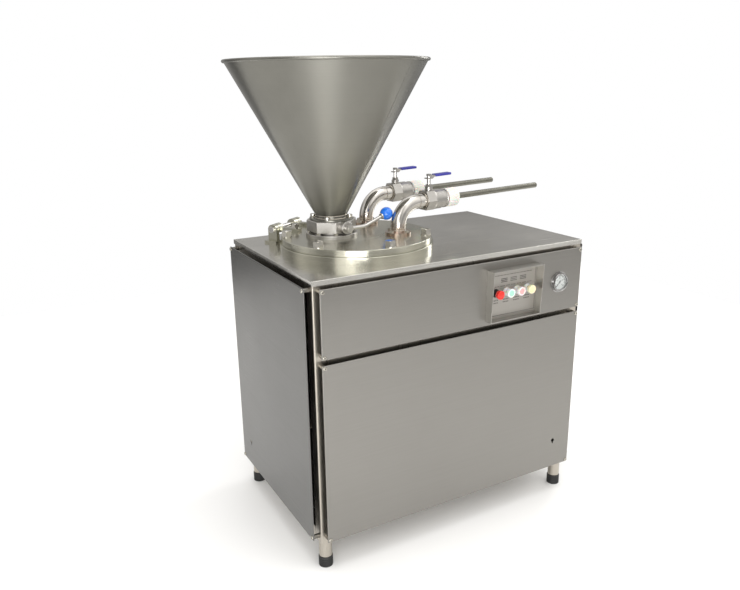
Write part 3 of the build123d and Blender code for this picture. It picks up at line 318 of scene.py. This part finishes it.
STEEL = (0.285, 0.275, 0.257)
STEEL_OLIVE = (0.235, 0.23, 0.206)
MATERIALS = {
    "stainless_frame": brushed_sheet("frame_steel", (0.48, 0.445, 0.39), 0.30, "z"),
    "stainless_panel": brushed_sheet("panel_steel", STEEL, 0.34, "x"),
    "worktop_steel": brushed_sheet("worktop_steel", (0.70, 0.685, 0.645), 0.20, "x", 0.12, 0.09),
    "lid_steel": turned_metal("turned_steel", (0.52, 0.51, 0.43), 0.20, LID, 0.6),
    "hopper_steel": turned_metal("spun_steel", STEEL_OLIVE, 0.34, HOPPER, 0.8, 0.04),
    "polished_steel": bright_metal("bright_steel", (0.60, 0.585, 0.56), 0.14),
    "cast_steel": cast_metal("cast_steel", (0.46, 0.445, 0.42), 0.34),
    "tube_steel": bright_metal("tube_steel", (0.20, 0.195, 0.165), 0.28),
    "fastener_steel": bright_metal("fastener_steel", (0.66, 0.64, 0.58), 0.18),
    "foot_rubber": moulded("foot_rubber", (0.018, 0.018, 0.018), 0.55, 500, 0.3),
    "seal_rubber": moulded("seal_rubber", (0.60, 0.60, 0.57), 0.5, 600),
    "nylon_white": moulded("turned_nylon", (0.78, 0.77, 0.72), 0.38, 500, 0.05, 0.3),
    "knob_blue": moulded("blue_knob", (0.01, 0.18, 0.80), 0.14, 150, 0.05, 0.0, 0.6, 0.03),
    "sleeve_blue": moulded("blue_sleeve", (0.035, 0.035, 0.30), 0.34, 600, 0.08),
    "label_sheet": brushed_sheet("label_sheet", (0.42, 0.40, 0.37), 0.42, "x", 0.05, 0.05),
    "button_red": moulded("red_button", (0.72, 0.02, 0.01), 0.22, 300, 0.05, 0.2, 0.3, 0.05),
    "button_green": moulded("clear_boot_green", (0.70, 0.78, 0.76), 0.25, 300, 0.05, 0.4, 0.3, 0.05),
    "button_rose": moulded("clear_boot_rose", (0.80, 0.72, 0.70), 0.25, 300, 0.05, 0.4, 0.3, 0.05),
    "button_cream": moulded("cream_button", (0.80, 0.74, 0.50), 0.25, 300, 0.05, 0.4, 0.3, 0.05),
    "collar_plastic": moulded("boot_collar", (0.66, 0.66, 0.63), 0.25, 300, 0.05, 0.3, 0.3, 0.05),
    "gauge_steel": bright_metal("gauge_steel", (0.36, 0.355, 0.35), 0.12),
    "dial_white": moulded("dial_paint", (0.95, 0.95, 0.93), 0.35, 350, 0.04),
    "pointer_black": painted("pointer_paint", (0.015, 0.015, 0.015), 0.35),
    "gauge_glass": clear_glass("gauge_window"),
    "hydraulic_steel": turned_metal("machined_steel", (0.42, 0.42, 0.42), 0.28, LID, 0.3),
    "tank_paint": painted("tank_paint", (0.09, 0.15, 0.20), 0.35),
    "motor_paint": painted("motor_paint", (0.05, 0.11, 0.22), 0.38),
    "pump_iron": cast_metal("pump_iron", (0.16, 0.16, 0.17), 0.5, 400),
    "gland_plastic": moulded("gland_plastic", (0.02, 0.02, 0.02), 0.4, 700, 0.2),
}
# The side panels' stainless, a darker copy of the front panels' same sheet: painted shade for the sides, which
# catch less light.
SHADED_SIDE_SHEET = brushed_sheet("side_panel_steel_painted_shade", (0.18, 0.178, 0.173), 0.32, "y")
HOOD_SHEET = brushed_sheet("hood_steel", (0.40, 0.39, 0.365), 0.38, "z", 0.04)
ELBOW_STEEL = bright_metal("elbow_steel", (0.60, 0.575, 0.54), 0.15, (LID_TOP, LID_TOP + 0.05))
PRINT = painted("label_print", (0.035, 0.03, 0.028), 0.5)
GREEN_CENTRE = moulded("green_centre", (0.36, 0.66, 0.55), 0.3, 300, 0.05, 0.1)
ROSE_CENTRE = moulded("rose_centre", (0.80, 0.38, 0.38), 0.3, 300, 0.05, 0.1)
CREAM_CENTRE = moulded("cream_centre", (0.82, 0.72, 0.40), 0.3, 300, 0.05, 0.1)
BLACK_SKIRT = moulded("black_skirt", (0.015, 0.015, 0.015), 0.35, 500, 0.2)
WELD = bright_metal("weld_metal", (0.50, 0.46, 0.40), 0.24)
STANDOFF = bright_metal("standoff_steel", (0.20, 0.19, 0.17), 0.3)
SCREW = bright_metal("screw_steel", (0.44, 0.42, 0.37), 0.2)
# Painted shade: near-black for the thin flat crosses that stand for the shaded recesses in the screw heads.
SOCKET_PAINTED_SHADE = cast_metal("socket_shadow", (0.05, 0.048, 0.045), 0.5, 500)

OWN_MATERIAL = {
    "panel_standoffs": STANDOFF,
    "panel_screws": SCREW,
    "left_panel": SHADED_SIDE_SHEET,
    "right_panel": SHADED_SIDE_SHEET,
    "control_hood": HOOD_SHEET,
    "outlet_elbows": ELBOW_STEEL,
}
for part in frame["record"]["subparts"]:
    node = part["node"]
    mesh = frame["nodes"][node].data
    mesh.materials.clear()
    mesh.materials.append(OWN_MATERIAL.get(node, MATERIALS[part["material_slot"]]))


# ==== mesh helpers ====
def piece(name, mesh, body, material, smooth=True):
    """Links a finished bmesh as a piece that rides on a CAD body."""
    data = bpy.data.meshes.new(name)
    bmesh.ops.recalc_face_normals(mesh, faces=mesh.faces)
    mesh.to_mesh(data)
    mesh.free()
    made = bpy.data.objects.new(name, data)
    scene.collection.objects.link(made)
    data.materials.append(material)
    if smooth:
        data.shade_smooth()
        data.set_sharp_from_angle(angle=radians(35))
    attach(made, body)
    return made


def axes_at(origin, along):
    """A matrix whose Z runs along a direction."""
    turn = Vector(along).to_track_quat("Z", "Y").to_matrix().to_4x4()
    return Matrix.Translation(origin) @ turn


def lathe(mesh, profile, place, steps=72, ripple=None):
    """Turns a closed profile of (radius, height) points about Z, then places it."""
    rings = []
    for i in range(steps):
        angle = 2 * pi * i / steps
        rings.append([])
        for radius, height in profile:
            r = radius + (ripple(angle) if ripple else 0)
            rings[-1].append(mesh.verts.new(place @ Vector((r * cos(angle), r * sin(angle), height))))
    count = len(profile)
    for i in range(steps):
        here, there = rings[i], rings[(i + 1) % steps]
        for k in range(count):
            n = (k + 1) % count
            mesh.faces.new((here[k], there[k], there[n], here[n]))


def disc_lathe(mesh, profile, place, steps=72):
    """Turns an open profile whose first and last points lie on the axis."""
    ends = [mesh.verts.new(place @ Vector((0, 0, profile[k][1]))) for k in (0, -1)]
    rings = []
    for i in range(steps):
        angle = 2 * pi * i / steps
        points = [Vector((r * cos(angle), r * sin(angle), h)) for r, h in profile[1:-1]]
        rings.append([mesh.verts.new(place @ point) for point in points])
    for i in range(steps):
        here, there = rings[i], rings[(i + 1) % steps]
        mesh.faces.new((ends[0], there[0], here[0]))
        mesh.faces.new((ends[1], here[-1], there[-1]))
        for k in range(len(here) - 1):
            mesh.faces.new((here[k], there[k], there[k + 1], here[k + 1]))


def slab(mesh, place, corners, thick):
    """A flat plate from an outline in the place's XY, thick along its Z."""
    low = [mesh.verts.new(place @ Vector((x, y, 0))) for x, y in corners]
    high = [mesh.verts.new(place @ Vector((x, y, thick))) for x, y in corners]
    mesh.faces.new(low[::-1])
    mesh.faces.new(high)
    for k in range(len(corners)):
        n = (k + 1) % len(corners)
        mesh.faces.new((low[k], low[n], high[n], high[k]))


def rectangle(x, y, width, height):
    """The corners of a rectangle about a point."""
    return [(x - width / 2, y - height / 2), (x + width / 2, y - height / 2),
            (x + width / 2, y + height / 2), (x - width / 2, y + height / 2)]


def facing_front(x, y, z):
    """A place on the front: its X runs right, its Y up and its Z towards the operator."""
    return Matrix(((1, 0, 0, x), (0, 0, -1, y), (0, 1, 0, z), (0, 0, 0, 1)))


# ==== weld beads ====
RIPPLE = 0.12


def weld_ring(mesh, centre, along, radius, bead, ripples=56, lift=0.0):
    """A rippled bead of weld round a joint."""
    arc = [radians(a) for a in range(0, 360, 45)]
    profile = [(radius + bead * cos(a), lift + bead * sin(a)) for a in arc]
    swell = RIPPLE * bead
    lathe(mesh, profile, axes_at(centre, along), ripples * 4, lambda angle: swell * cos(ripples * angle))


def weld_line(mesh, start, end, out, bead, pitch=0.004):
    """A rippled bead along a straight seam; out is the side it stands on."""
    run = end - start
    steps = max(8, int(run.length / pitch * 4))
    along = run.normalized()
    side = along.cross(out).normalized()
    ring = []
    for i in range(steps + 1):
        swell = bead * (1 + RIPPLE * cos(i * pi / 2))
        point = start + run * (i / steps)
        angles = [radians(a) for a in range(0, 360, 60)]
        wide, tall = 1.6 * swell, 0.55 * swell
        section = [point + side * (wide * cos(a)) + out * (tall * sin(a)) for a in angles]
        ring.append([mesh.verts.new(place) for place in section])
    for here, there in zip(ring, ring[1:]):
        for k in range(6):
            n = (k + 1) % 6
            mesh.faces.new((here[k], here[n], there[n], there[k]))
    mesh.faces.new(ring[0][::-1])
    mesh.faces.new(ring[-1])


CONE_BOTTOM_Z = 1.039
NECK_R = 0.051
BEAD_R = 0.311
SEAM_ANGLE = radians(296)


def add_hopper_welds():
    """The hopper's upright seam, the ring at its neck and the bead on its flange."""
    seam = bmesh.new()
    out = Vector((cos(SEAM_ANGLE), sin(SEAM_ANGLE), 0))
    foot = Vector((HOPPER.x, HOPPER.y, CONE_BOTTOM_Z + 0.004)) + out * (NECK_R + 0.0022)
    rim = Vector((HOPPER.x, HOPPER.y, HOPPER_HIGH.z - 0.008)) + out * (BEAD_R - 0.0016)
    run = (rim - foot).normalized()
    normal = (out - run * out.dot(run)).normalized()
    weld_line(seam, foot, rim, normal, 0.0007, 0.003)
    piece("hopper_seam", seam, "lid", MATERIALS["hopper_steel"])
    rings = bmesh.new()
    neck = Vector((HOPPER.x, HOPPER.y, CONE_BOTTOM_Z))
    weld_ring(rings, neck, (0, 0, 1), NECK_R + 0.0002, 0.0016)
    weld_ring(rings, Vector((HOPPER.x, HOPPER.y, HOPPER_LOW.z + 0.0055)), (0, 0, 1), NECK_R + 0.0008, 0.0022)
    piece("hopper_neck_welds", rings, "lid", WELD)


PIPE_R = 0.02415


def add_outlet_welds():
    """Beads where each elbow meets its flange, its bend and its ball valve."""
    beads = bmesh.new()
    for place in OUTLETS.values():
        foot = Vector((place.x, place.y, LID_TOP))
        weld_ring(beads, foot + Vector((0, 0, 0.0135)), (0, 0, 1), PIPE_R + 0.0008, 0.0017, 30)
        weld_ring(beads, foot + Vector((0, 0, 0.021)), (0, 0, 1), PIPE_R, 0.0010, 34)
        weld_ring(beads, place + AXIS_DIRECTION * 0.078, AXIS_DIRECTION, PIPE_R, 0.0010, 34)
        weld_ring(beads, place + AXIS_DIRECTION * 0.1042, AXIS_DIRECTION, PIPE_R + 0.0006, 0.0019, 30)
    piece("outlet_welds", beads, "lid", WELD)


# ==== fasteners' small detail ====
SCREW_INSET = 0.008
SCREW_HEAD = 0.00312
RECESS_SIZE = (0.0066, 0.0011)
RECESS_THICK = 0.00012


def add_screw_recesses():
    """A cross recess in each panel screw's head, drawn as a thin near-black cross on the head: painted shade
    standing for the hollow.
    """
    marks = bmesh.new()
    long, narrow = RECESS_SIZE
    arms = rectangle(0, 0, long, narrow), rectangle(0, 0, narrow, long)
    for node, out in (("front_upper_panel", (0, -1, 0)), ("front_lower_panel", (0, -1, 0)),
                      ("rear_panel", (0, 1, 0)), ("left_panel", (-1, 0, 0)), ("right_panel", (1, 0, 0))):
        low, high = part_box(node)
        out = Vector(out)
        face = Vector([high[i] if out[i] > 0 else low[i] for i in range(3)])
        across = 0 if out.x == 0 else 1
        for u in (low[across] + SCREW_INSET, high[across] - SCREW_INSET):
            for z in (low.z + SCREW_INSET, high.z - SCREW_INSET):
                spot = face.copy()
                spot[across] = u
                spot.z = z
                for outline in arms:
                    slab(marks, axes_at(spot + out * SCREW_HEAD, out), outline, RECESS_THICK)
    piece("screw_recesses", marks, "cabinet", SOCKET_PAINTED_SHADE, False)


# ==== label plate ====
PLATE_LOW, PLATE_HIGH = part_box("control_plate")
BUTTONS = ("stop", "start", "press", "return")
PRINT_THICK = 0.00015
LABEL_SHIFT = 0.0055
LABEL_HALF = (0.090, 0.071)
BORDER = 0.0016
SMALL_MARKS = 34
MARK_PITCH = 0.0044
TITLE_BLOCKS = 3
TITLE_PITCH = 0.038


def add_label():
    """The printed plate: a thin border, three hatched blocks for a title, and short marks."""
    marks = bmesh.new()
    centre = (PLATE_LOW + PLATE_HIGH) / 2
    place = facing_front(centre.x + LABEL_SHIFT, PLATE_FACE, centre.z)
    half_x, half_z = LABEL_HALF
    for s in (-1, 1):
        slab(marks, place, rectangle(0, s * half_z, 2 * half_x + BORDER, BORDER), PRINT_THICK)
        slab(marks, place, rectangle(s * half_x, 0, BORDER, 2 * half_z + BORDER), PRINT_THICK)
    for k in range(SMALL_MARKS):
        width = (0.0030, 0.0022, 0.0034)[k % 3]
        x = (k - (SMALL_MARKS - 1) / 2) * MARK_PITCH
        slab(marks, place, rectangle(x, 0.060, width, 0.0028), PRINT_THICK)
        if k % 5 != 4:
            slab(marks, place, rectangle(x, 0.0245, width, 0.0024), PRINT_THICK)
    for k in range(TITLE_BLOCKS):
        x = (k - (TITLE_BLOCKS - 1) / 2) * TITLE_PITCH
        for row in (-1, 0, 1):
            slab(marks, place, rectangle(x, 0.043 + 0.005 * row, 0.026, 0.0028), PRINT_THICK)
    for name in BUTTONS:
        x = middle(f"{name}_button").x - place.translation.x
        for row in range(2):
            for k in range(4):
                spot = (x - 0.0105 + 0.006 * k, -0.020 - 0.0085 * row)
                slab(marks, place, rectangle(*spot, 0.0042, 0.0036), PRINT_THICK)
    piece("label_print", marks, "cabinet", PRINT, False)


# ==== push buttons ====
BOOT = [
    (0, 0.0), (0.0128, 0.0), (0.0134, 0.0012), (0.0134, 0.0034), (0.0126, 0.0042), (0.0126, 0.0050),
    (0.0138, 0.0058), (0.0145, 0.0072), (0.0145, 0.0106), (0.0141, 0.0120), (0.0131, 0.0128),
    (0.0112, 0.0130), (0.0104, 0.0126), (0.0098, 0.0120), (0, 0.0120),
]
CENTRE_DOME = [
    (0, -0.0008), (0.0094, -0.0008), (0.0096, 0.0001), (0.0086, 0.0008), (0.0050, 0.0012), (0, 0.0013),
]
HEAD_THICK = 0.013
CENTRE_AT = 0.0122
STEM_R = 0.0088


def add_buttons():
    """A booted cap for each push button, with a domed coloured centre."""
    finishes = {
        "stop": ("button_red", MATERIALS["button_red"]),
        "start": ("button_green", GREEN_CENTRE),
        "press": ("button_rose", ROSE_CENTRE),
        "return": ("button_cream", CREAM_CENTRE),
    }
    for name, (slot, centre) in finishes.items():
        low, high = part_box(f"{name}_button")
        head_back = low.y + HEAD_THICK
        place = facing_front((low.x + high.x) / 2, head_back, (low.z + high.z) / 2)
        cap = bmesh.new()
        disc_lathe(cap, BOOT, place)
        made = piece(f"{name}_cap", cap, f"{name}_key", MATERIALS[slot])
        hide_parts(f"{name}_button")
        stem = bmesh.new()
        back = head_back - high.y
        disc_lathe(stem, [(0, back), (STEM_R, back), (STEM_R, 0.0004), (0, 0.0004)], place, 48)
        piece(f"{name}_stem", stem, f"{name}_key", BLACK_SKIRT)
        dome = bmesh.new()
        disc_lathe(dome, CENTRE_DOME, place @ Matrix.Translation((0, 0, CENTRE_AT)))
        piece(f"{name}_centre", dome, f"{name}_key", centre)


def add_skirts():
    """A flared rubber skirt on the plate behind each button."""
    collar_low, collar_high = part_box("button_collars")
    tall = collar_high.y - collar_low.y
    inner = STEM_R + 0.0004
    profile = [
        (inner, 0), (0.0136, 0), (0.0140, 0.0010), (0.0130, 0.0022),
        (0.0124, tall - 0.0012), (0.0116, tall), (inner, tall),
    ]
    for name in BUTTONS:
        spot = middle(f"{name}_button")
        skirt = bmesh.new()
        lathe(skirt, profile, facing_front(spot.x, PLATE_FACE, spot.z))
        finish = BLACK_SKIRT if name == "stop" else MATERIALS["collar_plastic"]
        made = piece(f"{name}_skirt", skirt, "cabinet", finish)
    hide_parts("button_collars")


# ==== gauge ====
SWEEP_START, SWEEP = radians(225), radians(270)
TICKS = 32
TICK_END_R = 0.0228
ARC_STEPS = 60
NUMBER_R = 0.0135


def add_gauge():
    """The gauge's ticks, its numbers and the rolled bezel round its window."""
    ticks = bmesh.new()
    for k in range(TICKS + 1):
        angle = SWEEP_START - SWEEP * k / TICKS
        inner, width = (0.0178, 0.0016) if k % 4 == 0 else (0.0202, 0.0008)
        place = facing_front(GAUGE.x, DIAL_FACE, GAUGE.z) @ Matrix.Rotation(angle, 4, "Z")
        outline = rectangle((inner + TICK_END_R) / 2, 0, TICK_END_R - inner, width)
        slab(ticks, place, outline, PRINT_THICK)
    for k in range(ARC_STEPS):
        angle = SWEEP_START - SWEEP * (k + 0.5) / ARC_STEPS
        place = facing_front(GAUGE.x, DIAL_FACE, GAUGE.z) @ Matrix.Rotation(angle, 4, "Z")
        slab(ticks, place, rectangle(TICK_END_R + 0.0003, 0, 0.0005, 0.0022), PRINT_THICK)
    piece("gauge_ticks", ticks, "cabinet", PRINT, False)
    for k in range(5):
        angle = SWEEP_START - SWEEP * k / 4
        text = bpy.data.curves.new(f"gauge_number_{k}", "FONT")
        text.body = str(4 * k)
        text.size = 0.0074
        text.extrude = 0.00008
        text.align_x = "CENTER"
        text.align_y = "CENTER"
        number = bpy.data.objects.new(f"gauge_number_{k}", text)
        scene.collection.objects.link(number)
        text.materials.append(PRINT)
        right, up = NUMBER_R * cos(angle), NUMBER_R * sin(angle)
        spot = (GAUGE.x + right, DIAL_FACE - 0.0001, GAUGE.z + up)
        number.matrix_world = facing_front(*spot)
        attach(number, "cabinet")
    bezel = bmesh.new()
    rolled = [(0.0001, 0.0088), (0.0007, 0.0104), (0.0022, 0.0112), (0.0042, 0.0106), (0.0052, 0.0090),
              (0.0054, 0.0060), (0.0048, 0.0020), (0.0042, 0.0020), (0.0040, 0.0088)]
    profile = [(DIAL_R + out, height) for out, height in rolled]
    lathe(bezel, profile, facing_front(GAUGE.x, PANEL_FACE, GAUGE.z), 96)
    piece("gauge_bezel", bezel, "cabinet", MATERIALS["gauge_steel"])


# ==== lever knob's ferrule ====
def add_knob_ferrule():
    """The threaded ferrule where the lever's rod enters the ball knob."""
    knob = middle("hopper_valve_knob")
    low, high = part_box("hopper_valve_knob")
    radius = (high.x - low.x) / 2
    mesh = frame["nodes"]["hopper_valve_lever"].data
    rod = [v.co for v in mesh.vertices if (v.co - knob).length < radius * 0.9]
    direction = (sum(rod, Vector()) / len(rod) - knob).normalized()
    ferrule = bmesh.new()
    profile = [
        (0.0061, -0.0010), (0.0100, -0.0010), (0.0102, 0.0010),
        (0.0092, 0.0040), (0.0076, 0.0050), (0.0061, 0.0050),
    ]
    lathe(ferrule, profile, axes_at(knob + direction * (radius - 0.0015), direction), 48)
    piece("knob_ferrule", ferrule, "hopper_valve", MATERIALS["fastener_steel"])


# ==== floor, backdrop and lights ====
FLOOR_HALF = 3.0


def add_floor():
    """A plain pale floor."""
    ground = bmesh.new()
    bmesh.ops.create_grid(ground, x_segments=24, y_segments=24, size=FLOOR_HALF)
    data = bpy.data.meshes.new("floor")
    ground.to_mesh(data)
    ground.free()
    floor = bpy.data.objects.new("floor", data)
    scene.collection.objects.link(floor)
    material, tree, shader = new_material("floor_paint")
    cloud = noise(tree, place_of(tree), 1.3, 3)
    link(tree, blend(tree, cloud, (0.93, 0.93, 0.92, 1), (0.95, 0.95, 0.95, 1)), shader, "Base Color")
    shader.inputs["Roughness"].default_value = 0.75
    data.materials.append(material)


def add_world():
    """A soft studio: white behind, and broad lighter and darker walls all round to reflect."""
    world = bpy.data.worlds.new("studio")
    scene.world = world
    world.use_nodes = True
    tree = world.node_tree
    tree.nodes.clear()
    direction = add(tree, "ShaderNodeTexCoord").outputs["Generated"]
    walls = noise(tree, direction, 1.6, 1.5, 0.5, (1, 1, 0.35))
    height = add(tree, "ShaderNodeSeparateXYZ", {0: direction}).outputs[2]
    rise = spread(tree, height, 0.85, 2.2, 0.1, 0.95)
    towards_camera = (-sin(CAMERA_AZIMUTH), -cos(CAMERA_AZIMUTH), 0)
    inputs = {0: direction, 1: towards_camera}
    facing = add(tree, "ShaderNodeVectorMath", inputs, operation="DOT_PRODUCT")
    nearness = spread(tree, facing.outputs["Value"], 0.62, 1.3, -0.5, 0.9)
    patches = spread(tree, walls, 0.24, 1.12, 0.32, 0.68)
    glow = math(tree, "MULTIPLY", patches, math(tree, "MULTIPLY", rise, nearness))
    studio = add(tree, "ShaderNodeBackground", {"Color": (1.0, 0.985, 0.96, 1), "Strength": glow})
    behind = add(tree, "ShaderNodeBackground", {"Color": (1, 1, 1, 1), "Strength": 1.0})
    seen = add(tree, "ShaderNodeLightPath").outputs["Is Camera Ray"]
    both = add(tree, "ShaderNodeMixShader", {0: seen, 1: studio.outputs[0], 2: behind.outputs[0]})
    add(tree, "ShaderNodeOutputWorld", {0: both.outputs[0]})


def add_light(name, place, target, size, power, colour=(1, 1, 1)):
    """A large soft light aimed at a point."""
    light = bpy.data.lights.new(name, "AREA")
    light.shape = "RECTANGLE"
    light.size, light.size_y = size
    light.energy = power
    light.color = colour
    lamp = bpy.data.objects.new(name, light)
    aim = (Vector(target) - Vector(place)).to_track_quat("-Z", "Y")
    lamp.matrix_world = Matrix.Translation(place) @ aim.to_matrix().to_4x4()
    scene.collection.objects.link(lamp)


def add_studio():
    """The floor, the surroundings and four soft lights."""
    add_floor()
    add_world()
    add_light("overhead", (-0.2, -0.4, 4.0), (0, 0, 0.6), (3.2, 2.6), 42)
    add_light("left_front", (-3.2, -3.0, 2.6), (0, 0, 0.7), (2.2, 2.4), 26)
    add_light("beside_camera", (-1.75, -2.9, 0.75), (-0.2, 0, 1.15), (1.7, 0.7), 46)
    add_light("right_back", (3.4, 1.2, 2.4), (0, 0, 1.0), (0.9, 2.2), 30)


add_camera()
add_studio()
add_hopper_welds()
add_outlet_welds()
add_screw_recesses()
add_label()
add_buttons()
add_skirts()
add_gauge()
add_knob_ferrule()
